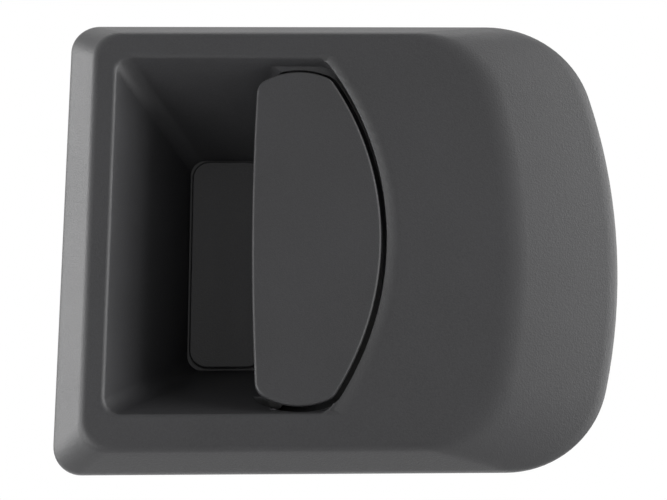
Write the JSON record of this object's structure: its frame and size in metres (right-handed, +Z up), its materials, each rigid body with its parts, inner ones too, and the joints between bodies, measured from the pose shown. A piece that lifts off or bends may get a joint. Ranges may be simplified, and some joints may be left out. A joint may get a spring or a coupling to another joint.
{
  "type": "van sliding door outer handle",
  "caption": "Recessed outer handle for a van's sliding door: moulded bezel with a deep finger cup and a sprung D-shaped rocker paddle that turns a bellcrank behind.",
  "frame": {"origin": "middle of the housing's outline, on the seat plane where the flange meets the door skin", "axes": "-Y out of the door towards the user, +Y into the door, +X right along the door, +Z up"},
  "size_m": [0.1585, 0.0397, 0.1314],
  "materials": {
    "housing_plastic": "charcoal black moulded plastic with a fine grain, matte",
    "paddle_plastic": "charcoal black moulded plastic with a fine grain, matte",
    "rubber": "soft black rubber, matte",
    "zinc_steel": "zinc plated pressed steel, satin",
    "bright_steel": "drawn bright steel",
    "spring_steel": "oil tempered spring wire",
    "natural_plastic": "undyed slide bearing plastic",
    "clip_plastic": "pale moulded plastic"
  },
  "bodies": {
    "body": {"housing": "housing_plastic", "gasket": "rubber", "hinge_plate": "zinc_steel", "bellcrank_bracket": "zinc_steel", "hinge_pin": "bright_steel", "pin_clip_lower": "spring_steel", "pin_clip_upper": "spring_steel", "return_spring": "spring_steel", "bellcrank_rivet": "bright_steel", "bellcrank_washer": "zinc_steel", "bellcrank_spring": "spring_steel", "stop_buffer_lower": "rubber", "stop_buffer_upper": "rubber", "mounting_stud_left": "zinc_steel", "mounting_stud_right": "zinc_steel", "bracket_screw_1": "zinc_steel", "bracket_screw_2": "zinc_steel", "bracket_screw_3": "zinc_steel", "bracket_screw_4": "zinc_steel"},
    "paddle": {"paddle": "paddle_plastic", "hinge_bush_lower": "natural_plastic", "hinge_bush_upper": "natural_plastic"},
    "bellcrank": {"bellcrank": "zinc_steel", "bellcrank_stud": "bright_steel", "bellcrank_bush": "natural_plastic", "rod_clip": "clip_plastic"}
  },
  "joints": [
    {"name": "paddle_hinge", "type": "hinge", "parent": "body", "child": "paddle", "pos_m": [-0.009, -0.0034, 0], "axis": [0, 0, 1], "range_deg": [0, 32], "stiffness_Nm_per_rad": 0.35, "springref_deg": -17.19, "deforming": ["return_spring"]},
    {"name": "bellcrank_pivot", "type": "hinge", "parent": "body", "child": "bellcrank", "pos_m": [-0.0133, 0.019, 0.01396], "axis": [0, 1, 0], "range_deg": [0, 32], "stiffness_Nm_per_rad": 0.12, "springref_deg": -17.19, "deforming": ["bellcrank_spring"]}
  ],
  "couplings": [
    {"joint": "bellcrank_pivot", "follows": "paddle_hinge", "ratio": 1}
  ]
}
